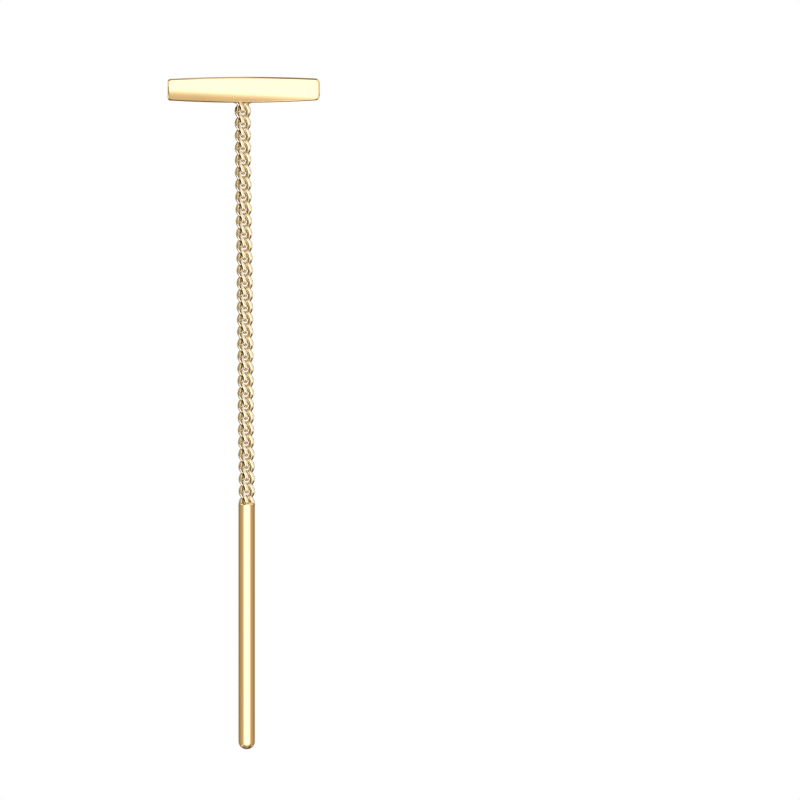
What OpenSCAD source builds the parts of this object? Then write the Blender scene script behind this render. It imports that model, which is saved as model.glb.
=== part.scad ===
// Threader earring: a slim bowed bar, a fine twisted curb chain from the middle of its lower edge, and a
// straight round rod that is pulled through the pierced ear.
// Millimetres. +Z is up, X runs along the bar, and the bar's polished front faces -Y.
// The origin is where the earring sits in the ear: the middle of the chain at the bar's lower edge.

/* [Bar] */
// Length of the bar from end to end
bar_length = 9.12; // [8:0.02:12]
// Height of the bar at its middle, where its long edges bow outwards
bar_height = 1.56; // [1.45:0.01:2]
// Height that the bowed edges would have at the very ends
bar_end_height = 1.30; // [1.2:0.01:1.4]
// Thickness of the bar from its back to the top of its crowned front
bar_depth = 1.05; // [0.9:0.01:1.4]
// Rise of the softly crowned front from the long edges to the middle line
bar_crown = 0.04; // [0.02:0.01:0.1]
// Radius of the two corners at the left end
left_corner_r = 0.15; // [0.1:0.01:0.4]
// Radius of the two corners at the right end
right_corner_r = 0.27; // [0.1:0.01:0.4]
// How far the middle of the bar lies to the right of the chain
bar_offset = 0.07; // [-0.2:0.01:0.2]

/* [End links] */
// Thickness of the chain's round wire
wire_d = 0.31; // [0.2:0.01:0.35]
// Width of a link over its two sides
link_width = 1.07; // [1:0.01:1.2]
// Length of a link from end to end
link_length = 1.41; // [1.3:0.01:1.6]
// Turn of the flat side of the links and the chain about the vertical
chain_turn = 40; // [0:5:90]
// How deep the rod's link is sunk into the solder on the rod's top
link_sink = 0.15; // [0.05:0.01:0.2]

/* [Chain] */
// Width of the chain across its flat side
chain_width = 1.16; // [1:0.01:1.3]
// Thickness of the chain through its flat side
chain_thickness = 0.72; // [0.5:0.01:0.8]
// Gap between each end of the chain and the soldered link next to it
chain_gap = 0.06; // [0.04:0.01:0.1]

/* [Rod] */
// Diameter of the round rod
rod_d = 1.0; // [0.9:0.05:1.2]
// Length of the rod
rod_length = 14.74; // [12:0.01:20]
// Radius of the rod's rounded lower end
rod_tip_r = 0.48; // [0.2:0.01:0.49]
// Radius of the softened edge round the rod's flat top
rod_top_r = 0.05; // [0.02:0.01:0.1]

/* [Hidden] */
gold = [0.87, 0.72, 0.45];
round_facets = 64;
crown_facets = 240;
edge_steps = 24;
corner_steps = 8;
chain_sides = 8;

// Route of the chain's middle line, from just under the bar's soldered link to just over the rod's
chain_route = [
    [0.00, 0, -0.70],
    [0.01, 0, -2.5],
    [0.02, 0, -4.5],
    [0.05, 0, -6.5],
    [0.09, 0, -8.5],
    [0.12, 0, -10.5],
    [0.13, 0, -12.5],
    [0.15, 0, -14.5],
    [0.17, 0, -16.5],
    [0.18, 0, -18.5],
    [0.20, 0, -20.5],
    [0.24, 0, -22.71]
];
chain_top = chain_route[0];
chain_end = chain_route[len(chain_route) - 1];

// Bowed long edges: the radius whose arc drops from the middle height to the end height over half the length
half_length = bar_length / 2;
edge_drop = (bar_height - bar_end_height) / 2;
edge_r = (half_length * half_length + edge_drop * edge_drop) / (2 * edge_drop);
edge_centre = edge_r - bar_height / 2;
// Small angle between a corner arc's last point and the bowed edge's first, so that no two points fall together
bow_gap = 0.2;

// Crowned front: the radius whose arc drops by the crown over half the height
crown_r = (bar_height * bar_height / 4 + bar_crown * bar_crown) / (2 * bar_crown);

// Oval end links: two half rings joined by short straight sides
link_r = (link_width - wire_d) / 2;
link_side = link_length - link_width;
bar_link_z = chain_top[2] + chain_gap + link_length / 2;
rod_link_z = chain_end[2] - chain_gap - link_length / 2;
rod_top_z = rod_link_z - link_length / 2 + link_sink;

// Points along an arc about a centre
function arc_points(centre, radius, from, to, steps) = [
    for (i = [0 : steps])
        let (angle = from + (to - from) * i / steps)
        [centre[0] + radius * cos(angle), centre[1] + radius * sin(angle)]
];

// Height of the centre of a corner circle that touches both the end line and the bowed edge from inside
function corner_height(r) = sqrt(pow(edge_r - r, 2) - pow(half_length - r, 2)) - edge_centre;

// Angle at which a corner circle runs into the bowed edge
function corner_angle(r) = atan2(corner_height(r) + edge_centre, half_length - r);

// Front outline of the bar about its own middle, anticlockwise from the lower right corner
function bar_outline() =
    let (
        right_x = half_length - right_corner_r,
        right_z = corner_height(right_corner_r),
        right_angle = corner_angle(right_corner_r),
        left_x = left_corner_r - half_length,
        left_z = corner_height(left_corner_r),
        left_angle = corner_angle(left_corner_r),
        bow_from = right_angle + bow_gap,
        bow_to = 180 - left_angle - bow_gap
    )
    concat(
        arc_points([right_x, -right_z], right_corner_r, -right_angle, 0, corner_steps),
        arc_points([right_x, right_z], right_corner_r, 0, right_angle, corner_steps),
        arc_points([0, -edge_centre], edge_r, bow_from, bow_to, edge_steps),
        arc_points([left_x, left_z], left_corner_r, 180 - left_angle, 180, corner_steps),
        arc_points([left_x, -left_z], left_corner_r, 180, 180 + left_angle, corner_steps),
        arc_points([0, edge_centre], edge_r, -bow_to, -bow_from, edge_steps)
    );

// One closed oval link standing upright, its flat side turned about the vertical, centred on the origin
module end_link() {
    rotate([0, 0, chain_turn]) {
        for (end = [0, 180]) {
            rotate([0, end, 0]) translate([0, 0, link_side / 2]) rotate([90, 0, 0])
                rotate_extrude(angle = 180, $fn = round_facets)
                    translate([link_r, 0]) circle(d = wire_d, $fn = round_facets);
        }
        for (side = [-1, 1]) {
            translate([side * link_r, 0, 0])
                cylinder(d = wire_d, h = link_side, center = true, $fn = round_facets);
        }
    }
}

// The bar's own body: the bowed outline extruded to its depth, its front trimmed to the soft crown
module bar_body() {
    intersection() {
        translate([bar_offset, 0, bar_height / 2]) rotate([90, 0, 0])
            linear_extrude(height = bar_depth, center = true) polygon(bar_outline());
        translate([bar_offset, crown_r - bar_depth / 2, bar_height / 2]) rotate([0, 90, 0])
            cylinder(r = crown_r, h = 2 * bar_length, center = true, $fn = crown_facets);
    }
}

// The bar with the chain's first link soldered into the middle of its lower edge
module bar() {
    color(gold) union() {
        bar_body();
        translate([chain_top[0], 0, bar_link_z]) end_link();
    }
}

// One ring of the chain's tube: an oval across the route, turned with the flat side of the chain
function chain_ring(middle) = [
    for (i = [0 : chain_sides - 1])
        let (
            angle = 360 * i / chain_sides,
            across = chain_width / 2 * cos(angle),
            through = chain_thickness / 2 * sin(angle)
        )
        middle + [
            across * cos(chain_turn) - through * sin(chain_turn),
            across * sin(chain_turn) + through * cos(chain_turn),
            0
        ]
];

// The fine chain as one tube swept along its route
module chain() {
    rings = len(chain_route);
    last = (rings - 1) * chain_sides;
    points = [for (middle = chain_route) each chain_ring(middle)];
    side_faces = [
        for (ring = [0 : rings - 2], i = [0 : chain_sides - 1])
            let (here = ring * chain_sides, next = (i + 1) % chain_sides)
            [here + i, here + chain_sides + i, here + chain_sides + next, here + next]
    ];
    top_face = [for (i = [0 : chain_sides - 1]) i];
    bottom_face = [for (i = [chain_sides - 1 : -1 : 0]) last + i];
    color(gold) polyhedron(points, concat([top_face, bottom_face], side_faces), convexity = 2);
}

// Half profile of the rod, from its rounded lower end at zero up to its flat top
module rod_profile() {
    rod_r = rod_d / 2;
    intersection() {
        square([rod_r, rod_length]);
        union() {
            translate([0, rod_tip_r]) square([rod_r, rod_length - rod_tip_r - rod_top_r]);
            translate([0, rod_tip_r]) square([rod_r - rod_top_r, rod_length - rod_tip_r]);
            square([rod_r - rod_tip_r, rod_length]);
            translate([rod_r - rod_tip_r, rod_tip_r]) circle(r = rod_tip_r, $fn = round_facets);
            translate([rod_r - rod_top_r, rod_length - rod_top_r]) circle(r = rod_top_r, $fn = round_facets);
        }
    }
}

// The threader rod with the chain's last link soldered to its top
module rod() {
    color(gold) translate([chain_end[0], 0, 0]) union() {
        translate([0, 0, rod_top_z - rod_length]) rotate_extrude($fn = round_facets) rod_profile();
        translate([0, 0, rod_link_z]) end_link();
    }
}

bar();
chain();
rod();
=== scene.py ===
"""Looks of a chain threader earring: a slim bowed bar, a fine twisted curb chain and a straight round rod.

Lengths are in metres in the part's own frame: +Z up, +X along the bar, and the polished front faces -Y.
"""

import logging
import math
import random
from dataclasses import dataclass, field
from enum import Enum

import bmesh
import bpy
from mathutils import Matrix, Vector
from mathutils.bvhtree import BVHTree

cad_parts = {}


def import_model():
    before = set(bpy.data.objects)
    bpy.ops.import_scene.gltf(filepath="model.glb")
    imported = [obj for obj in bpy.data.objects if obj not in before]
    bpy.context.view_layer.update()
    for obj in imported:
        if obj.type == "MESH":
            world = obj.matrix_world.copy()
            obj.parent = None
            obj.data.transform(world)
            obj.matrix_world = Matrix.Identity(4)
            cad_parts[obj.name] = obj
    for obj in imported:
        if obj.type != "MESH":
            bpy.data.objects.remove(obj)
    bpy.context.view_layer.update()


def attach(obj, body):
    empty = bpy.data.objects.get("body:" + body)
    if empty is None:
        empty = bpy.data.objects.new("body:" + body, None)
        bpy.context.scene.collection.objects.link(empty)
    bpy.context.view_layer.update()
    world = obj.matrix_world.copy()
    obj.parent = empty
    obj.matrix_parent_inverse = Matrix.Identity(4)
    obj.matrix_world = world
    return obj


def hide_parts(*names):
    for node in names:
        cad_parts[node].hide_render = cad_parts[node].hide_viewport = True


MM = 0.001
FULL_TURN = 2 * math.pi
NEAR = 1e-8
DARK_CARD = 0.05
LOG = logging.getLogger("earring")


class Slot(Enum):
    """Names of material slots, which each piece carries."""

    POLISHED_GOLD = "polished_gold"
    CHAIN_GOLD = "chain_gold"


class Body(Enum):
    """Bodies that move as one."""

    BAR_AND_CHAIN = "bar_and_chain"
    THREADER = "threader"


class Mark(Enum):
    """Vertex attributes that tell a finish what kind of place a point of the metal is, and where shade is
    painted into its colour.
    """

    CREVICE_SHADE = "crevice_shade"
    WIRE = "wire"
    SOLDER = "solder"
    TUMBLED = "tumbled"
    SHADE = "shade"
    EDGE = "edge"
    END_FACE = "end_face"


def smooth_step(value: float, low: float, high: float) -> float:
    """Eases a value from 0 at low to 1 at high.

    Args:
        value: The value to ease.
        low: Where the result is 0.
        high: Where the result is 1. It may be below low.

    Returns:
        The eased share, from 0 to 1.
    """
    share = min(1.0, max(0.0, (value - low) / (high - low)))
    return share * share * (3 - 2 * share)


@dataclass(frozen=True)
class ChainRoute:
    """Middle line of the hanging chain, and the heights at which its links sit."""

    points: tuple[tuple[float, float, float], ...] = (
        (0.00 * MM, 0.0, -0.70 * MM),
        (0.01 * MM, 0.0, -2.5 * MM),
        (0.02 * MM, 0.0, -4.5 * MM),
        (0.05 * MM, 0.0, -6.5 * MM),
        (0.09 * MM, 0.0, -8.5 * MM),
        (0.12 * MM, 0.0, -10.5 * MM),
        (0.13 * MM, 0.0, -12.5 * MM),
        (0.15 * MM, 0.0, -14.5 * MM),
        (0.17 * MM, 0.0, -16.5 * MM),
        (0.18 * MM, 0.0, -18.5 * MM),
        (0.20 * MM, 0.0, -20.5 * MM),
        (0.24 * MM, 0.0, -22.71 * MM),
    )
    pitch: float = 0.7355 * MM
    bar_link_height: float = 0.066 * MM
    free_links: int = 31

    def middle(self, step: int) -> Vector:
        """Finds the middle of a link.

        Args:
            step: Place of the link under the one that is soldered to the bar, which is 0.

        Returns:
            The link's middle, on the route.
        """
        height = self.bar_link_height - step * self.pitch
        for upper, lower in zip(self.points, self.points[1:]):
            if height >= lower[2]:
                share = max(0.0, (upper[2] - height) / (upper[2] - lower[2]))
                return Vector((upper[0] + share * (lower[0] - upper[0]), 0.0, height))
        return Vector((self.points[-1][0], 0.0, height))


@dataclass(frozen=True)
class CurbLink:
    """One link of round wire: an oval whose upper and lower ends are twisted against each other.

    Attributes:
        wire: Thickness of the wire.
        half_width: Half the width of the oval that the middle of the wire follows.
        half_length: Half its length.
        lead: Turn of the oval's widest place about the vertical, from the X axis.
        twist: How far each end turns against that place.
        twist_ease: Power by which the twist grows towards the ends. Below 1 it grows early.
        fullness: Power by which the oval narrows towards its ends. Below 1 it stays full.
        relax: Half the stretch over which the wire's line is evened out.
        relax_steps: Number of points on either side that are evened out with each point.
        rings: Number of rings of vertices round the link.
        sides: Number of vertices round the wire.
        sight_lines: Number of directions in which a point looks for wire that shuts it in.
        sight: How far it looks.
        sight_start: How far off its own surface it starts to look.
        flattest_sight: Least rise of a direction over the surface, as the sine of its angle.
        neighbours: Number of links on either side that can shut it in.
    """

    wire: float = 0.310 * MM
    half_width: float = 0.385 * MM
    half_length: float = 0.555 * MM
    lead: float = math.radians(41.2)
    twist: float = math.radians(48.5)
    twist_ease: float = 0.66
    fullness: float = 0.90
    relax: float = math.radians(11.6)
    relax_steps: int = 3
    rings: int = 72
    sides: int = 20
    sight_lines: int = 60
    sight: float = 0.6 * MM
    sight_start: float = 0.0031 * MM
    flattest_sight: float = 0.1
    neighbours: int = 2

    def raw_centre(self, angle: float) -> Vector:
        """Gives a point of the twisted oval that the wire follows, before it is relaxed.

        Args:
            angle: Place round the link, 0 at its side and a quarter turn at its upper end.

        Returns:
            The point, from the link's own middle.
        """
        across, up = math.cos(angle), math.sin(angle)
        reach = self.half_width * math.copysign(abs(across) ** self.fullness, across)
        turn = self.lead - self.twist * math.copysign(abs(up) ** self.twist_ease, up)
        return Vector((reach * math.cos(turn), reach * math.sin(turn), self.half_length * up))

    def centre(self, angle: float) -> Vector:
        """Gives a point of the wire's centre line: the oval, relaxed over a short stretch as wire bends.

        Args:
            angle: Place round the link.

        Returns:
            The point, from the link's own middle.
        """
        steps = range(-self.relax_steps, self.relax_steps + 1)
        stretch = [self.raw_centre(angle + self.relax * step / self.relax_steps) for step in steps]
        return sum(stretch, Vector()) / len(stretch)

    def wire_point(self, angle: float, around: float) -> Vector:
        """Gives a point of the wire's surface.

        Args:
            angle: Place round the link.
            around: Place round the wire, 0 on the outer side of the link.

        Returns:
            The point, from the link's own middle.
        """
        step = math.pi / self.rings
        middle = self.centre(angle)
        along = (self.centre(angle + step) - self.centre(angle - step)).normalized()
        outward = (middle - middle.dot(along) * along).normalized()
        sideways = along.cross(outward)
        return middle + self.wire / 2 * (math.cos(around) * outward + math.sin(around) * sideways)

    def mesh(self, pitch: float) -> bmesh.types.BMesh:
        """Spins a ring of wire into a closed link, twists it, and marks where it nestles in its neighbours
        for painted shade.

        Args:
            pitch: Distance from one link to the next.

        Returns:
            The link, centred on the origin.
        """
        metal = bmesh.new()
        ring = bmesh.ops.create_circle(metal, segments=self.sides, radius=self.wire / 2)["verts"]
        bmesh.ops.rotate(metal, verts=ring, matrix=Matrix.Rotation(math.pi / 2, 3, "X"))
        bmesh.ops.translate(metal, verts=ring, vec=(self.half_length, 0.0, 0.0))
        bmesh.ops.spin(
            metal, geom=metal.verts[:] + metal.edges[:], axis=(0, 0, 1), angle=FULL_TURN,
            steps=self.rings, use_merge=True,
        )
        for vert in metal.verts:
            angle = math.atan2(vert.co.y, vert.co.x)
            around = math.atan2(vert.co.z, vert.co.xy.length - self.half_length)
            vert.co = self.wire_point(angle, around)
        MetalWork.face_outwards(metal)
        self.mark_crevice_shade(metal, pitch)
        wire = metal.verts.layers.float.new(Mark.WIRE.value)
        for vert in metal.verts:
            vert[wire] = 1.0
        return metal

    def mark_crevice_shade(self, metal: bmesh.types.BMesh, pitch: float) -> None:
        """Marks how far each point is shut in by the wire around it, where shade is painted into the
        crevices.

        Args:
            metal: The link's mesh.
            pitch: Distance from one link to the next.
        """
        around = bmesh.new()
        for step in range(-self.neighbours, self.neighbours + 1):
            MetalWork.add_link(around, metal, Vector((0, 0, step * pitch)), 0.0)
        bmesh.ops.scale(around, vec=Vector((1, 1, 1)) / MM, verts=around.verts)
        walls = BVHTree.FromBMesh(around)
        around.free()
        lines = [self.sight_line(step) for step in range(self.sight_lines)]
        crevice_shade = metal.verts.layers.float.new(Mark.CREVICE_SHADE.value)
        for vert in metal.verts:
            start = (vert.co + vert.normal * self.sight_start) / MM
            lifts = [(line, line.dot(vert.normal)) for line in lines]
            seen = [(line, share) for line, share in lifts if share > self.flattest_sight]
            shut = sum(share for line, share in seen if walls.ray_cast(start, line, self.sight / MM)[0])
            vert[crevice_shade] = shut / sum(share for _, share in seen)

    def sight_line(self, step: int) -> Vector:
        """Gives one of the directions in which a point looks out, spread evenly over a sphere.

        Args:
            step: Which of them.

        Returns:
            Its unit vector.
        """
        golden_angle = math.pi * (3 - math.sqrt(5))
        turn = step * golden_angle
        height = 1 - (2 * step + 1) / self.sight_lines
        reach = math.sqrt(1 - height * height)
        return Vector((reach * math.cos(turn), reach * math.sin(turn), height))


class MetalWork:
    """Bench helpers that the pieces share."""

    DROP_SEGMENTS, DROP_RINGS = 40, 20

    @staticmethod
    def bevel(metal: bmesh.types.BMesh, edges: list, width: float, segments: int) -> None:
        """Bevels a set of edges.

        Args:
            metal: The piece's mesh.
            edges: The edges to bevel.
            width: How far the bevel reaches from each edge.
            segments: Number of faces across the bevel.
        """
        bmesh.ops.bevel(
            metal, geom=edges, offset=width, offset_type="OFFSET", segments=segments, profile=0.5,
            affect="EDGES", material=-1, clamp_overlap=True,
        )

    @staticmethod
    def flat_outline(metal: bmesh.types.BMesh, axis: int, level: float) -> list:
        """Finds the edges of an outline that lies flat across an axis.

        Args:
            metal: The piece's mesh.
            axis: 0 for X, 1 for Y and 2 for Z.
            level: Where the outline lies on the axis.

        Returns:
            Its edges.
        """
        return [e for e in metal.edges if all(abs(v.co[axis] - level) < NEAR for v in e.verts)]

    @staticmethod
    def slice(metal: bmesh.types.BMesh, point: Vector, normal: Vector) -> None:
        """Cuts a mesh along a plane and keeps both sides.

        Args:
            metal: The piece's mesh.
            point: A point of the plane.
            normal: The plane's normal.
        """
        geometry = metal.verts[:] + metal.edges[:] + metal.faces[:]
        bmesh.ops.bisect_plane(metal, geom=geometry, dist=NEAR, plane_co=point, plane_no=normal)

    @staticmethod
    def face_outwards(metal: bmesh.types.BMesh) -> None:
        """Turns every face outwards, once the moved vertices are taken into account."""
        metal.normal_update()
        bmesh.ops.recalc_face_normals(metal, faces=metal.faces)
        metal.normal_update()

    @staticmethod
    def add_link(metal: bmesh.types.BMesh, link: bmesh.types.BMesh, middle: Vector, turn: float) -> list:
        """Copies a link into a piece.

        Args:
            metal: The piece's mesh.
            link: The link to copy, centred on the origin.
            middle: Where the copy goes.
            turn: Turn of the copy about the vertical, in radians.

        Returns:
            The new vertices.
        """
        patch = bpy.data.meshes.new("link_copy")
        link.to_mesh(patch)
        before = set(metal.verts)
        metal.from_mesh(patch)
        bpy.data.meshes.remove(patch)
        verts = [vert for vert in metal.verts if vert not in before]
        bmesh.ops.rotate(metal, verts=verts, cent=(0, 0, 0), matrix=Matrix.Rotation(turn, 3, "Z"))
        bmesh.ops.translate(metal, verts=verts, vec=middle)
        return verts

    @staticmethod
    def add_solder(metal: bmesh.types.BMesh, middle: Vector, half_sizes: Vector) -> None:
        """Adds a smooth drop of solder.

        Args:
            metal: The piece's mesh.
            middle: Middle of the drop.
            half_sizes: Half its size along X, Y and Z.
        """
        solder = metal.verts.layers.float[Mark.SOLDER.value]
        place = Matrix.LocRotScale(middle, None, half_sizes)
        drop = bmesh.ops.create_uvsphere(
            metal, u_segments=MetalWork.DROP_SEGMENTS, v_segments=MetalWork.DROP_RINGS, radius=1.0,
            matrix=place,
        )
        for vert in drop["verts"]:
            vert[solder] = 1.0

    @staticmethod
    def add_marks(metal: bmesh.types.BMesh) -> None:
        """Gives a mesh a layer for every mark."""
        for mark in Mark:
            if mark.value not in metal.verts.layers.float:
                metal.verts.layers.float.new(mark.value)

    @staticmethod
    def mark_edge_shade(metal: bmesh.types.BMesh, full_angle: float) -> None:
        """Marks the vertices where the surface turns, for the shade painted along the edges.

        Args:
            metal: The piece's mesh.
            full_angle: Angle between two faces that counts as a whole edge.
        """
        edge_shade = metal.verts.layers.float[Mark.EDGE.value]
        for edge in metal.edges:
            share = min(1.0, edge.calc_face_angle(0.0) / full_angle)
            for vert in edge.verts:
                vert[edge_shade] = max(vert[edge_shade], share)


@dataclass
class Piece:
    """A finished piece of the earring: its name, the body it rides on and the part it stands for."""

    name: str
    body: Body
    slot: Slot
    stands_for: str

    def shape(self) -> bmesh.types.BMesh:
        """Builds the piece's mesh in its place."""
        raise NotImplementedError

    def shade(self, piece: bpy.types.Object) -> None:
        """Keeps flat faces flat where they meet rounded ones.

        Args:
            piece: The finished object.
        """
        shading = piece.modifiers.new("flat faces stay flat", "WEIGHTED_NORMAL")
        shading.keep_sharp = True

    def place(self, finish: "GoldFinish") -> bpy.types.Object:
        """Makes the object, dresses it and hangs it on its body.

        Args:
            finish: The finish that dresses it.

        Returns:
            The finished object.
        """
        metal = self.shape()
        for face in metal.faces:
            face.smooth = True
        mesh = bpy.data.meshes.new(self.name)
        metal.to_mesh(mesh)
        metal.free()
        mesh.materials.append(finish.material())
        piece = bpy.data.objects.new(self.name, mesh)
        bpy.context.scene.collection.objects.link(piece)
        self.shade(piece)
        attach(piece, self.body.value)
        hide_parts(self.stands_for)
        LOG.info("%s: %d faces, %s", self.name, len(mesh.polygons), finish.name)
        return piece


@dataclass
class BowedBar(Piece):
    """The polished bar, with the chain's first link soldered under it.

    Its two long edges bow outwards by a rise, and the peak of each bow lies a little to one side of the
    middle. The front is crowned about an axis that tilts slightly, as the reflections in it show.
    """

    name: str = "bowed_bar"
    body: Body = Body.BAR_AND_CHAIN
    slot: Slot = Slot.POLISHED_GOLD
    stands_for: str = "bar"
    length: float = 9.12 * MM
    height: float = 1.56 * MM
    end_height: float = 1.29 * MM
    depth: float = 1.05 * MM
    crown: float = 0.04 * MM
    offset: float = 0.07 * MM
    left_corner: float = 0.15 * MM
    right_corner: float = 0.27 * MM
    chamfer: float = 0.075 * MM
    soft_edge: float = 0.02 * MM
    back_round: float = 0.16 * MM
    crown_tilt: float = 0.05
    front_slope: float = math.radians(9)
    end_reach: float = 0.0001 * MM
    rim_soft_edges: float = 1.5
    upper_rise: float = 0.125 * MM
    upper_peak: float = 0.25 * MM
    lower_rise: float = 0.146 * MM
    lower_peak: float = -0.20 * MM
    corner_steps: int = 8
    soft_edge_steps: int = 2
    back_steps: int = 5
    columns: int = 36
    rows: int = 20
    whole_edge: float = math.radians(45)
    solder_place: tuple[float, float, float] = (-0.02 * MM, -0.05 * MM, 0.03 * MM)
    solder_size: tuple[float, float, float] = (0.58 * MM, 0.36 * MM, 0.11 * MM)
    route: ChainRoute = field(default_factory=ChainRoute)
    link: CurbLink = field(default_factory=CurbLink)

    def block(self) -> bmesh.types.BMesh:
        """Cuts the straight block with its rounded corners, chamfered front and rounded back."""
        metal = bmesh.new()
        bmesh.ops.create_cube(metal, size=1.0)
        bmesh.ops.scale(metal, vec=(self.length, self.depth, self.end_height), verts=metal.verts)
        for side, radius in ((-1, self.left_corner), (1, self.right_corner)):
            corners = [e for e in metal.edges if self.runs_through(e, side)]
            MetalWork.bevel(metal, corners, radius, self.corner_steps)
        front, back = -self.depth / 2, self.depth / 2
        MetalWork.bevel(metal, self.outline(metal, front), self.chamfer, 1)
        chamfer_lines = self.outline(metal, front) + self.outline(metal, front + self.chamfer)
        MetalWork.bevel(metal, chamfer_lines, self.soft_edge, self.soft_edge_steps)
        MetalWork.bevel(metal, self.outline(metal, back), self.back_round, self.back_steps)
        return metal

    @staticmethod
    def outline(metal: bmesh.types.BMesh, depth: float) -> list:
        """Finds the edges of the bar's outline at one depth."""
        return MetalWork.flat_outline(metal, 1, depth)

    @staticmethod
    def runs_through(edge: bmesh.types.BMEdge, side: int) -> bool:
        """Tells whether an edge runs from front to back at one end of the bar.

        Args:
            edge: The edge.
            side: -1 for the left end and 1 for the right end.

        Returns:
            Whether it does.
        """
        first, second = (vert.co for vert in edge.verts)
        return first.x * side > 0 and first.y * second.y < 0 and abs(first.z - second.z) < NEAR

    def cut_grid(self, metal: bmesh.types.BMesh) -> None:
        """Cuts the block into columns and rows, so that it can be bowed and crowned."""
        rim = self.chamfer + self.rim_soft_edges * self.soft_edge
        for half_size, corner, count, normal in (
            (self.length / 2, self.right_corner, self.columns, Vector((1, 0, 0))),
            (self.end_height / 2, self.chamfer + self.soft_edge, self.rows, Vector((0, 0, 1))),
        ):
            shares = [2 * step / count - 1 for step in range(count + 1)]
            cuts = [(half_size - corner) * share for share in shares]
            for place in cuts + [rim - half_size, half_size - rim]:
                MetalWork.slice(metal, normal * place, normal)

    def bow_and_crown(self, metal: bmesh.types.BMesh) -> None:
        """Bows the long edges outwards, crowns the front softly and sets the bar in its place."""
        half_length = self.length / 2
        end_mark = metal.verts.layers.float[Mark.END_FACE.value]
        for vert in metal.verts:
            rise, peak = self.lower_rise, self.lower_peak
            if vert.co.z > 0:
                rise, peak = self.upper_rise, self.upper_peak
            bow = rise * (1 - ((vert.co.x - peak) / half_length) ** 2)
            vert.co.z *= 1 + bow / (self.end_height / 2)
            axis = -self.crown_tilt * vert.co.x
            if vert.co.y < 0:
                vert.co.y += self.crown * ((vert.co.z - axis) / (self.height / 2)) ** 2
            vert[end_mark] = 1.0 if abs(vert.co.x) > half_length - self.end_reach else 0.0
        middle = (self.offset, 0, self.end_height / 2 + self.lower_rise)
        bmesh.ops.translate(metal, verts=metal.verts, vec=middle)

    def keep_front_apart(self, metal: bmesh.types.BMesh) -> None:
        """Shades the polished front apart from its softened rim, so that it stays level up to the rim."""
        metal.normal_update()
        for edge in metal.edges:
            fronts = sum(face.normal.y < -math.cos(self.front_slope) for face in edge.link_faces)
            edge.smooth = fronts != 1

    def shape(self) -> bmesh.types.BMesh:
        """Builds the bar, its solder and its soldered link."""
        metal = self.block()
        MetalWork.add_marks(metal)
        self.cut_grid(metal)
        self.bow_and_crown(metal)
        self.keep_front_apart(metal)
        MetalWork.mark_edge_shade(metal, self.whole_edge)
        link = self.link.mesh(self.route.pitch)
        MetalWork.add_link(metal, link, self.route.middle(0), 0.0)
        link.free()
        MetalWork.add_solder(metal, Vector(self.solder_place), Vector(self.solder_size))
        MetalWork.face_outwards(metal)
        return metal


@dataclass
class CurbChain(Piece):
    """The free links of the twisted curb chain, each through the next."""

    name: str = "curb_chain"
    body: Body = Body.BAR_AND_CHAIN
    slot: Slot = Slot.CHAIN_GOLD
    stands_for: str = "chain"
    sway: float = math.radians(1.5)
    sway_links: float = 9.0
    jitter: float = math.radians(0.3)
    seed: int = 7
    route: ChainRoute = field(default_factory=ChainRoute)
    link: CurbLink = field(default_factory=CurbLink)

    def shape(self) -> bmesh.types.BMesh:
        """Hangs the links along the route, each with a slight turn of its own."""
        chance = random.Random(self.seed)
        metal = bmesh.new()
        MetalWork.add_marks(metal)
        link = self.link.mesh(self.route.pitch)
        for step in range(1, self.route.free_links + 1):
            turn = self.sway * math.sin(FULL_TURN * step / self.sway_links)
            turn += chance.uniform(-self.jitter, self.jitter)
            MetalWork.add_link(metal, link, self.route.middle(step), turn)
        link.free()
        return metal


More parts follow.
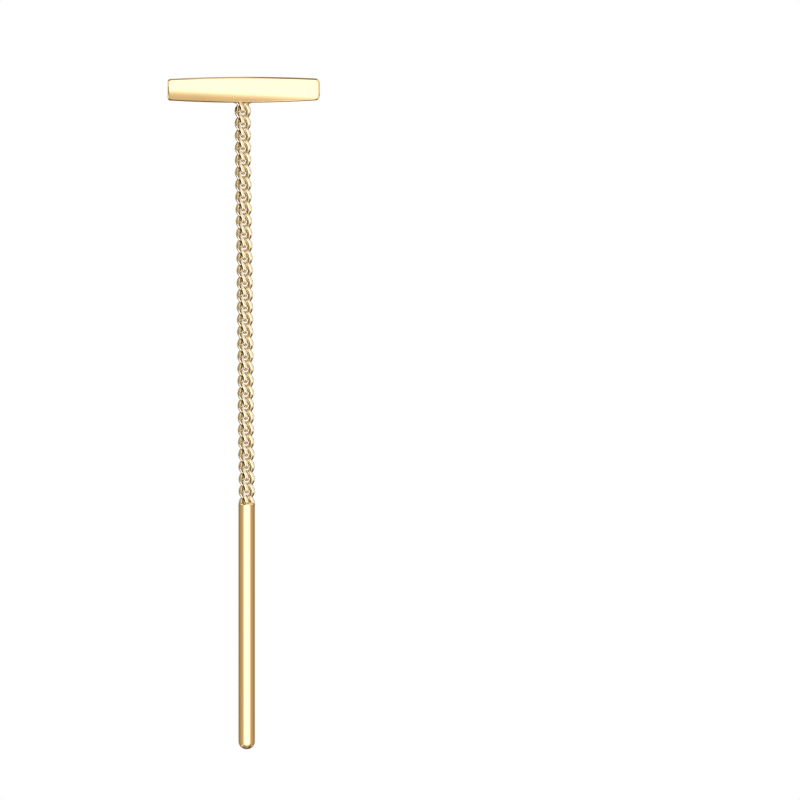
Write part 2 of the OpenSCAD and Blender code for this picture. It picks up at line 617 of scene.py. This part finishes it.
@dataclass
class ThreaderRod(Piece):
    """The straight round rod, with the chain's last links soldered into its top.

    A depth in the tip counts from the start of its rounding, 0, to its end, 1. A lean is the distance to
    the right of the rod's axis as a share of its radius.
    """

    name: str = "threader_rod"
    body: Body = Body.THREADER
    slot: Slot = Slot.POLISHED_GOLD
    stands_for: str = "rod"
    diameter: float = 1.0 * MM
    length: float = 14.74 * MM
    top: float = -24.03 * MM
    tip_round: float = 0.48 * MM
    gloss_level_from: float = -1.0
    gloss_turns_between: tuple[float, float] = (0.48, 1.0)
    tumbled_between: tuple[float, float] = (0.44, 0.60)
    # Painted shade: a dark spot on the tip's lower right, and dark corners at the top beside the solder.
    spot_lean: float = 0.38
    spot_depth: float = 0.68
    spot_reach: float = 0.46
    corner_lean_between: tuple[float, float] = (0.62, 0.95)
    corner_reach: float = 0.16 * MM
    top_round: float = 0.05 * MM
    collar: float = 0.03 * MM
    solder_size: tuple[float, float, float] = (0.45 * MM, 0.45 * MM, 0.10 * MM)
    sides: int = 96
    tip_steps: int = 16
    top_steps: int = 4
    route: ChainRoute = field(default_factory=ChainRoute)
    link: CurbLink = field(default_factory=CurbLink)

    def rod(self) -> bmesh.types.BMesh:
        """Turns the rod, with a rounded lower end and a softened rim at the top."""
        metal = bmesh.new()
        radius = self.diameter / 2
        bmesh.ops.create_cone(
            metal, cap_ends=True, segments=self.sides, radius1=radius, radius2=radius, depth=self.length,
        )
        for level, width, steps in (
            (-self.length / 2, self.tip_round, self.tip_steps),
            (self.length / 2, self.top_round, self.top_steps),
        ):
            MetalWork.bevel(metal, MetalWork.flat_outline(metal, 2, level), width, steps)
        for level in (self.tip_round - self.length / 2, self.length / 2 - self.top_round):
            for inset in (self.collar, 2 * self.collar, self.corner_reach):
                MetalWork.slice(metal, Vector((0, 0, level - math.copysign(inset, level))), Vector((0, 0, 1)))
        MetalWork.add_marks(metal)
        self.mark_tones(metal)
        middle = (self.route.points[-1][0], 0, self.top - self.length / 2)
        bmesh.ops.translate(metal, verts=metal.verts, vec=middle)
        return metal

    def mark_tones(self, metal: bmesh.types.BMesh) -> None:
        """Marks the tumbled tip, and paints shade into a spot at its lower right and the corners beside the
        solder.
        """
        tumbled, shade = (metal.verts.layers.float[mark.value] for mark in (Mark.TUMBLED, Mark.SHADE))
        shoulder = self.tip_round - self.length / 2
        for vert in metal.verts:
            depth = (shoulder - vert.co.z) / self.tip_round
            lean = vert.co.x / (self.diameter / 2)
            vert[tumbled] = smooth_step(depth, *self.tumbled_between)
            if depth > 0:
                away = math.hypot(lean - self.spot_lean, depth - self.spot_depth)
                vert[shade] = 1 - smooth_step(away, 0.0, self.spot_reach)
            else:
                near_top = 1 - min(1.0, (self.length / 2 - vert.co.z) / self.corner_reach)
                vert[shade] = near_top * smooth_step(abs(lean), *self.corner_lean_between)

    def shade(self, piece: bpy.types.Object) -> None:
        """Keeps the gloss of the rounded tip level until near its end, so that the stripe runs down over it.

        Args:
            piece: The finished object.
        """
        mesh = piece.data
        axis = self.route.points[-1][0]
        shoulder = self.top - self.length + self.tip_round
        normals = []
        for corner, loop in zip(mesh.corner_normals, mesh.loops):
            normal = Vector(corner.vector)
            place = mesh.vertices[loop.vertex_index].co
            depth = (shoulder - place.z) / self.tip_round
            if depth > self.gloss_level_from:
                level = Vector((place.x - axis, place.y, 0)).normalized()
                normal = level.lerp(normal, smooth_step(depth, *self.gloss_turns_between)).normalized()
            normals.append(normal)
        mesh.normals_split_custom_set(normals)

    def shape(self) -> bmesh.types.BMesh:
        """Builds the rod, its soldered links and their solder."""
        metal = self.rod()
        link = self.link.mesh(self.route.pitch)
        first = self.route.free_links + 1
        MetalWork.add_link(metal, link, self.route.middle(first), 0.0)
        stub = MetalWork.add_link(metal, link, self.route.middle(first + 1), 0.0)
        link.free()
        self.trim(metal, stub)
        centre = Vector((self.route.points[-1][0], 0, self.top))
        MetalWork.add_solder(metal, centre, Vector(self.solder_size))
        MetalWork.face_outwards(metal)
        return metal

    def trim(self, metal: bmesh.types.BMesh, verts: list) -> None:
        """Cuts the last link off just inside the rod and closes the cut ends.

        Args:
            metal: The piece's mesh.
            verts: The link's vertices.
        """
        faces = {face for vert in verts for face in vert.link_faces}
        edges = {edge for vert in verts for edge in vert.link_edges}
        cut = bmesh.ops.bisect_plane(
            metal, geom=list(verts) + list(edges) + list(faces), dist=NEAR,
            plane_co=(0, 0, self.top - self.top_round), plane_no=(0, 0, 1), clear_inner=True,
        )["geom_cut"]
        bmesh.ops.holes_fill(metal, edges=[g for g in cut if isinstance(g, bmesh.types.BMEdge)], sides=0)


class NodeBench:
    """Adds and links nodes in one tree, so that a finish reads as a list of steps.

    MIX_FIRST, MIX_SECOND and MIX_RESULT are the places of a Mix node's two colours and its mixed colour.
    """

    MIX_FIRST, MIX_SECOND, MIX_RESULT = 6, 7, 2

    def __init__(self, tree: bpy.types.NodeTree) -> None:
        """Keeps the tree to work in."""
        self.tree = tree

    def add(self, kind: str, **settings: object) -> bpy.types.Node:
        """Adds a node.

        Args:
            kind: The node's type.
            settings: Properties to set on it.

        Returns:
            The node.
        """
        node = self.tree.nodes.new(kind)
        for name, value in settings.items():
            setattr(node, name, value)
        return node

    def feed(self, socket: bpy.types.NodeSocket, source: object) -> None:
        """Links a source to an input, or sets the input to a plain value.

        Args:
            socket: The input.
            source: An output socket, a number or a tuple.
        """
        if isinstance(source, bpy.types.NodeSocket):
            self.tree.links.new(source, socket)
        else:
            socket.default_value = source

    def math(self, operation: str, *sources: object) -> bpy.types.NodeSocket:
        """Adds a Math node.

        Args:
            operation: The node's operation.
            sources: Its inputs in order.

        Returns:
            Its output.
        """
        node = self.add("ShaderNodeMath", operation=operation)
        for socket, source in zip(node.inputs, sources):
            self.feed(socket, source)
        return node.outputs[0]

    def ease(self, value: object, low: float, high: float) -> bpy.types.NodeSocket:
        """Eases a value from 0 at low to 1 at high.

        Args:
            value: What it eases.
            low: The value that gives 0.
            high: The value that gives 1. It may be below low.

        Returns:
            The eased share.
        """
        node = self.add("ShaderNodeMapRange", interpolation_type="SMOOTHSTEP")
        for name, source in (("Value", value), ("From Min", low), ("From Max", high)):
            self.feed(node.inputs[name], source)
        return node.outputs[0]

    def mix(self, share: object, first: object, second: object, blend: str = "MIX") -> bpy.types.NodeSocket:
        """Mixes two colours.

        Args:
            share: Share of the second colour.
            first: First colour.
            second: Second colour.
            blend: How the second is laid over the first.

        Returns:
            The mixed colour.
        """
        node = self.add("ShaderNodeMix", data_type="RGBA", blend_type=blend)
        self.feed(node.inputs[0], share)
        self.feed(node.inputs[self.MIX_FIRST], first)
        self.feed(node.inputs[self.MIX_SECOND], second)
        return node.outputs[self.MIX_RESULT]

    def noise(self, position: object, scale: float, detail: float) -> bpy.types.NodeSocket:
        """Adds a noise texture.

        Args:
            position: Where it is read.
            scale: Its scale.
            detail: Its detail.

        Returns:
            Its value, about 0.5 in the middle.
        """
        node = self.add("ShaderNodeTexNoise")
        self.feed(node.inputs["Vector"], position)
        self.feed(node.inputs["Scale"], scale)
        self.feed(node.inputs["Detail"], detail)
        return node.outputs[0]

    def mark(self, mark: Mark) -> bpy.types.NodeSocket:
        """Reads one of the mesh's marks."""
        return self.add("ShaderNodeAttribute", attribute_name=mark.value).outputs["Fac"]

    def group(self, tree: bpy.types.NodeTree, **sources: object) -> bpy.types.Node:
        """Places a node group.

        Args:
            tree: The group.
            sources: Its inputs by name, with spaces as underscores.

        Returns:
            The group's node.
        """
        node = self.add("ShaderNodeGroup", node_tree=tree)
        for name, source in sources.items():
            self.feed(node.inputs[name.replace("_", " ")], source)
        return node


@dataclass(frozen=True)
class EffectGroup:
    """A shared effect: a node group with named inputs and outputs, built once."""

    name: str
    inputs: tuple[tuple[str, str], ...]
    outputs: tuple[tuple[str, str], ...]

    def open(self) -> tuple[NodeBench, bpy.types.Node, bpy.types.Node]:
        """Starts the group.

        Returns:
            A bench on the group's tree, its input node and its output node.
        """
        tree = bpy.data.node_groups.new(self.name, "ShaderNodeTree")
        for name, kind in self.inputs:
            tree.interface.new_socket(name, in_out="INPUT", socket_type=kind)
        for name, kind in self.outputs:
            tree.interface.new_socket(name, in_out="OUTPUT", socket_type=kind)
        bench = NodeBench(tree)
        return bench, bench.add("NodeGroupInput"), bench.add("NodeGroupOutput")


class GoldEffects:
    """The effects that both golds share: polish lines, handling haze, and the tones of edges and joints,
    which paint shade along edges, into crevices and onto spots.
    """

    FLOAT, VECTOR, COLOUR = "NodeSocketFloat", "NodeSocketVector", "NodeSocketColor"
    LINE_DETAIL, HAZE_DETAIL = 3.0, 4.0
    HAZE_SCALE, HAZE_FROM, HAZE_TO = 0.9 / MM, 0.42, 0.72
    SHUT_FROM, SHUT_TO = 0.25, 0.75
    SOLDER_DULLNESS = 0.2

    def __init__(self) -> None:
        """Builds the groups."""
        self.polish_lines = self.build_polish_lines()
        self.handling = self.build_handling()
        self.joint_tones = self.build_joint_tones()

    def build_polish_lines(self) -> bpy.types.NodeTree:
        """Builds the fine lines that the polishing wheel leaves: long and faint one way, close the other."""
        effect = EffectGroup(
            "polish lines",
            (("Position", self.VECTOR), ("Fineness", self.VECTOR), ("Strength", self.FLOAT)),
            (("Height", self.FLOAT),),
        )
        bench, given, result = effect.open()
        stretched = bench.add("ShaderNodeVectorMath", operation="MULTIPLY")
        bench.feed(stretched.inputs[0], given.outputs["Position"])
        bench.feed(stretched.inputs[1], given.outputs["Fineness"])
        lines = bench.noise(stretched.outputs[0], scale=1.0, detail=self.LINE_DETAIL)
        bench.feed(result.inputs["Height"], bench.math("MULTIPLY", lines, given.outputs["Strength"]))
        return bench.tree

    def build_handling(self) -> bpy.types.NodeTree:
        """Builds the slight haze of handling: soft patches where the polish is a little less bright."""
        effect = EffectGroup(
            "handling haze",
            (("Position", self.VECTOR), ("Clean Roughness", self.FLOAT), ("Hazy Roughness", self.FLOAT)),
            (("Roughness", self.FLOAT), ("Haze", self.FLOAT)),
        )
        bench, given, result = effect.open()
        patches = bench.noise(given.outputs["Position"], scale=self.HAZE_SCALE, detail=self.HAZE_DETAIL)
        haze = bench.ease(patches, self.HAZE_FROM, self.HAZE_TO)
        span = bench.math("SUBTRACT", given.outputs["Hazy Roughness"], given.outputs["Clean Roughness"])
        rough = bench.math("MULTIPLY_ADD", haze, span, given.outputs["Clean Roughness"])
        bench.feed(result.inputs["Roughness"], rough)
        bench.feed(result.inputs["Haze"], haze)
        return bench.tree

    def build_joint_tones(self) -> bpy.types.NodeTree:
        """Builds the tones of chain wire and solder, and the painted shade along edges, in crevices between
        strands and on dark spots.
        """
        effect = EffectGroup(
            "joint tones",
            (
                ("Gold", self.COLOUR), ("Edge", self.COLOUR), ("Wire", self.COLOUR), ("Crevice", self.COLOUR),
                ("Solder", self.COLOUR), ("Shade", self.COLOUR), ("Crevice Depth", self.FLOAT),
            ),
            (("Color", self.COLOUR), ("Dullness", self.FLOAT)),
        )
        bench, given, result = effect.open()
        # Painted shade: the edge, crevice and shade colours darken the gold where their marks lie.
        edged = bench.mix(bench.mark(Mark.EDGE), given.outputs["Gold"], given.outputs["Edge"])
        wired = bench.mix(bench.mark(Mark.WIRE), edged, given.outputs["Wire"])
        soldered = bench.mix(bench.mark(Mark.SOLDER), wired, given.outputs["Solder"])
        shut = bench.ease(bench.mark(Mark.CREVICE_SHADE), self.SHUT_FROM, self.SHUT_TO)
        depth = bench.math("MULTIPLY", shut, given.outputs["Crevice Depth"])
        shut_in = bench.mix(depth, soldered, given.outputs["Crevice"])
        bench.feed(result.inputs["Color"], bench.mix(bench.mark(Mark.SHADE), shut_in, given.outputs["Shade"]))
        dull_solder = bench.math("MULTIPLY", bench.mark(Mark.SOLDER), self.SOLDER_DULLNESS)
        bench.feed(result.inputs["Dullness"], bench.math("MAXIMUM", bench.mark(Mark.TUMBLED), dull_solder))
        return bench.tree


@dataclass(frozen=True)
class GoldFinish:
    """High-polished pale yellow gold with fine lines, slight haze, and painted shade: darker edges, crevices
    and spots.

    A fineness says how many polish lines there are in a metre along each axis. The lines run along the bar
    and round the rod, and upright on the bar's end faces.
    """

    name: str
    effects: GoldEffects
    gold: tuple[float, float, float, float] = (0.92, 0.70, 0.41, 1.0)
    hazy_gold: tuple[float, float, float, float] = (0.90, 0.69, 0.42, 1.0)
    # Painted shade: darker along the bar's turned edges.
    edge: tuple[float, float, float, float] = (0.25, 0.235, 0.175, 1.0)
    wire: tuple[float, float, float, float] = (0.91, 0.83, 0.66, 1.0)
    # Painted shade: darker in the crevices where strands shut each other in.
    crevice_shade: tuple[float, float, float, float] = (0.70, 0.55, 0.33, 1.0)
    solder: tuple[float, float, float, float] = (0.90, 0.76, 0.52, 1.0)
    # Painted shade: the dark spot on the rod's tip and its dark top corners.
    shade: tuple[float, float, float, float] = (0.17, 0.11, 0.045, 1.0)
    # How deep the crevices' painted shade goes.
    crevice_shade_depth: float = 0.5
    roughness: float = 0.045
    hazy_roughness: float = 0.065
    dull_roughness: float = 0.50
    fineness: tuple[float, float, float] = (400.0, 400.0, 22000.0)
    end_fineness: tuple[float, float, float] = (22000.0, 22000.0, 400.0)
    line_height: float = 0.35
    bump_distance: float = 0.0004 * MM

    def material(self) -> bpy.types.Material:
        """Builds the material.

        Returns:
            The material, with one Principled shader.
        """
        material = bpy.data.materials.new(self.name)
        material.use_nodes = True
        bench = NodeBench(material.node_tree)
        shader = bench.tree.nodes["Principled BSDF"]
        shader.inputs["Metallic"].default_value = 1.0
        place = bench.add("ShaderNodeTexCoord").outputs["Object"]
        handling = bench.group(
            self.effects.handling, Position=place, Clean_Roughness=self.roughness,
            Hazy_Roughness=self.hazy_roughness,
        )
        base = bench.mix(handling.outputs["Haze"], self.gold, self.hazy_gold)
        tones = bench.group(
            self.effects.joint_tones, Gold=base, Edge=self.edge, Wire=self.wire, Crevice=self.crevice_shade,
            Solder=self.solder, Shade=self.shade, Crevice_Depth=self.crevice_shade_depth,
        )
        bench.feed(shader.inputs["Base Color"], tones.outputs["Color"])
        dull = bench.math("MULTIPLY", tones.outputs["Dullness"], self.dull_roughness)
        bench.feed(shader.inputs["Roughness"], bench.math("ADD", handling.outputs["Roughness"], dull))
        bench.feed(shader.inputs["Normal"], self.polish(bench, place))
        return material

    def polish(self, bench: NodeBench, place: bpy.types.NodeSocket) -> bpy.types.NodeSocket:
        """Adds the polish lines, which turn on the bar's end faces.

        Args:
            bench: Bench on the material's tree.
            place: Object coordinates.

        Returns:
            The bumped normal.
        """
        plain, turned = (
            bench.group(
                self.effects.polish_lines, Position=place, Fineness=fineness, Strength=self.line_height,
            ).outputs["Height"]
            for fineness in (self.fineness, self.end_fineness)
        )
        span = bench.math("SUBTRACT", turned, plain)
        height = bench.math("MULTIPLY_ADD", bench.mark(Mark.END_FACE), span, plain)
        bump = bench.add("ShaderNodeBump")
        bump.inputs["Distance"].default_value = self.bump_distance
        bench.feed(bump.inputs["Height"], height)
        return bump.outputs["Normal"]


@dataclass(frozen=True)
class LightPatch:
    """A soft card of light far away, seen in the polished metal.

    Angles are in degrees. Azimuth 0 is in front of the bar and 90 on its right, and elevation 0 is level.

    Attributes:
        name: What the card is.
        azimuth: Azimuth of its middle.
        half_azimuth: Half its width.
        elevation: Elevation of its middle.
        half_elevation: Half its height.
        side_softness: How far its left and right edges fade to either side.
        level_softness: How far its upper and lower edges fade to either side.
        radiance: How bright it is.
    """

    name: str
    azimuth: float
    half_azimuth: float
    elevation: float
    half_elevation: float
    side_softness: float
    level_softness: float
    radiance: float


@dataclass
class Studio:
    """Plain pale floor, soft studio light and the camera.

    The cards of light are laid one over another, the first at the bottom, over a dim room. In the camera's
    view the chain's round wire mirrors cards all round, the upright rod only the thin level ring, and the
    bar's flat front only the narrow upright strip. What is dimmer than warm_below is tinted with the warm
    colour, the more the dimmer it is.
    """

    lens: float = 500.0
    sensor: float = 36.0
    frame_width: float = 48.0 * MM
    aim: tuple[float, float] = (9.44 * MM, -17.82 * MM)
    floor_height: float = -58.0 * MM
    floor_radius: float = 420.0 * MM
    floor_sides: int = 96
    floor_tone: tuple[float, float, float, float] = (0.80, 0.79, 0.77, 1.0)
    floor_roughness: float = 0.9
    clip: tuple[float, float] = (0.01, 20.0)
    backdrop: tuple[float, float, float, float] = (1.0, 1.0, 1.0, 1.0)
    room: float = 0.18
    warm: tuple[float, float, float, float] = (1.0, 0.77, 0.40, 1.0)
    warm_below: float = 1.9
    patches: tuple[LightPatch, ...] = (
        LightPatch("dark back wall", 175, 50, 0, 90, 14, 8, DARK_CARD),
        LightPatch("pale ceiling", 0, 180, 100, 15, 5, 9, 0.9),
        LightPatch("pale table", 0, 180, -90, 10, 5, 9, 0.7),
        LightPatch("dark floor on the left", -50, 45, -45, 20, 12, 10, DARK_CARD),
        LightPatch("broad wall on the right", 60, 70, -10, 75, 12, 10, 1.1),
        LightPatch("dark floor in front", 20, 80, -80, 25, 12, 8, DARK_CARD),
        LightPatch("bright card on the left", -70, 20, -5, 20, 8, 8, 2.0),
        LightPatch("dark wall in front", -15, 40, 5, 75, 8, 8, DARK_CARD),
        LightPatch("high strip on the left", -50, 10, 60, 25, 8, 10, 1.0),
        LightPatch("bright strip low in front", 10, 15, -40, 50, 8, 8, 2.1),
        LightPatch("dark corner on the right", 120, 20, -60, 25, 8, 6, DARK_CARD),
        LightPatch("bright strip behind", 190, 10, 15, 35, 8, 8, 2.1),
        LightPatch("bright card overhead", -20, 15, 90, 20, 6, 6, 1.6),
        LightPatch("dim wall behind on the left", -125, 30, 25, 25, 8, 8, 0.6),
        LightPatch("dark card low in front", -20, 25, -15, 25, 5, 5, DARK_CARD),
        LightPatch("high card in front", -20, 10, 55, 15, 5, 5, 0.7),
        LightPatch("narrow strip in front", 7, 7, 10, 40, 6, 6, 1.2),
        LightPatch("dark card low on the left", -30, 15, -25, 10, 6, 6, DARK_CARD),
        LightPatch("dark band low on the left", -80, 35, -40, 8, 6, 6, DARK_CARD),
        LightPatch("dark card under the bar", 25, 45, -88, 8, 8, 4, 0.10),
        LightPatch("rod's ring", 0, 180, -1, 2.0, 14, 0.5, 0.34),
        LightPatch("rod's ring, bright behind", 180, 14, -1, 2.0, 8, 0.5, 1.7),
        LightPatch("rod's ring, front half", 2, 95, -1, 2.0, 35, 0.5, 0.60),
        LightPatch("rod's ring, bright in front", 4, 42, -1, 2.0, 22, 0.5, 1.9),
        LightPatch("bar's strip, lower part", -0.8, 1.4, -34, 37, 0.5, 1.0, 1.0),
        LightPatch("bar's strip, dim notch", -0.8, 1.4, -9, 2.5, 0.5, 2.0, 0.80),
        LightPatch("bar's strip, upper part", -0.8, 1.4, 22, 25.1, 0.5, 2.9, 1.85),
    )

    def build(self) -> None:
        """Builds the floor, the light and the camera."""
        self.build_camera()
        self.build_floor()
        self.build_light()

    def build_camera(self) -> None:
        """Places a long lens level in front of the earring, so that the frame is as wide as it should be."""
        lens = bpy.data.cameras.new("camera")
        lens.lens = self.lens
        lens.sensor_width = self.sensor
        lens.clip_start, lens.clip_end = self.clip
        camera = bpy.data.objects.new("camera", lens)
        distance = self.lens / self.sensor * self.frame_width
        camera.location = (self.aim[0], -distance, self.aim[1])
        camera.rotation_euler = (math.pi / 2, 0, 0)
        bpy.context.scene.collection.objects.link(camera)
        bpy.context.scene.camera = camera

    def build_floor(self) -> None:
        """Lays a round pale floor under the hanging earring. It isn't seen in the metal."""
        disc = bmesh.new()
        bmesh.ops.create_circle(disc, cap_ends=True, segments=self.floor_sides, radius=self.floor_radius)
        bmesh.ops.translate(disc, verts=disc.verts, vec=(0, 0, self.floor_height))
        mesh = bpy.data.meshes.new("floor")
        disc.to_mesh(mesh)
        disc.free()
        paper = bpy.data.materials.new("pale paper")
        paper.use_nodes = True
        shader = paper.node_tree.nodes["Principled BSDF"]
        shader.inputs["Base Color"].default_value = self.floor_tone
        shader.inputs["Roughness"].default_value = self.floor_roughness
        mesh.materials.append(paper)
        floor = bpy.data.objects.new("floor", mesh)
        floor.visible_glossy = False
        bpy.context.scene.collection.objects.link(floor)

    def build_light(self) -> None:
        """Lights the scene from a pale room with soft cards, and keeps the backdrop plain white."""
        world = bpy.data.worlds.new("studio")
        bpy.context.scene.world = world
        world.use_nodes = True
        bench = NodeBench(world.node_tree)
        direction = bench.add("ShaderNodeSeparateXYZ")
        bench.feed(direction.inputs[0], bench.add("ShaderNodeTexCoord").outputs["Generated"])
        right, back, up = direction.outputs
        forward = bench.math("MULTIPLY", back, -1.0)
        azimuth = bench.math("DEGREES", bench.math("ARCTAN2", right, forward))
        elevation = bench.math("DEGREES", bench.math("ARCSINE", up))
        light = self.room
        for patch in self.patches:
            light = self.lay(bench, patch, azimuth, elevation, light)
        camera_ray = bench.add("ShaderNodeLightPath").outputs["Is Camera Ray"]
        warmth = bench.ease(light, self.warm_below, 0.0)
        tinted = bench.mix(warmth, light, self.warm, blend="MULTIPLY")
        shown = bench.mix(camera_ray, tinted, self.backdrop)
        bench.feed(bench.tree.nodes["Background"].inputs["Color"], shown)
        bpy.context.scene.view_settings.view_transform = "Standard"

    @staticmethod
    def lay(bench: NodeBench, patch: LightPatch, azimuth: object, elevation: object, under: object) -> object:
        """Lays one card of light over what is there.

        Args:
            bench: Bench on the world's tree.
            patch: The card.
            azimuth: Azimuth of the ray in degrees.
            elevation: Elevation of the ray in degrees.
            under: The light so far.

        Returns:
            The light with the card.
        """
        turned = bench.math("WRAP", bench.math("SUBTRACT", azimuth, float(patch.azimuth)), 180.0, -180.0)
        aside = bench.math("ABSOLUTE", turned)
        above = bench.math("ABSOLUTE", bench.math("SUBTRACT", elevation, float(patch.elevation)))
        side = bench.ease(
            aside, patch.half_azimuth + patch.side_softness, patch.half_azimuth - patch.side_softness,
        )
        level = bench.ease(
            above, patch.half_elevation + patch.level_softness, patch.half_elevation - patch.level_softness,
        )
        share = bench.math("MULTIPLY", side, level)
        share.node.label = patch.name
        span = bench.math("SUBTRACT", patch.radiance, under)
        return bench.math("MULTIPLY_ADD", share, span, under)


def main() -> None:
    """Builds the earring and its studio."""
    logging.basicConfig(level=logging.INFO, format="%(name)s: %(message)s")
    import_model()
    Studio().build()
    effects = GoldEffects()
    polished = GoldFinish(name="polished gold", effects=effects)
    chain_gold = GoldFinish(
        name="chain gold", effects=effects, gold=(0.91, 0.83, 0.66, 1.0), hazy_gold=(0.89, 0.82, 0.66, 1.0),
    )
    BowedBar().place(polished)
    CurbChain().place(chain_gold)
    ThreaderRod().place(polished)


if __name__ == "__main__":
    main()
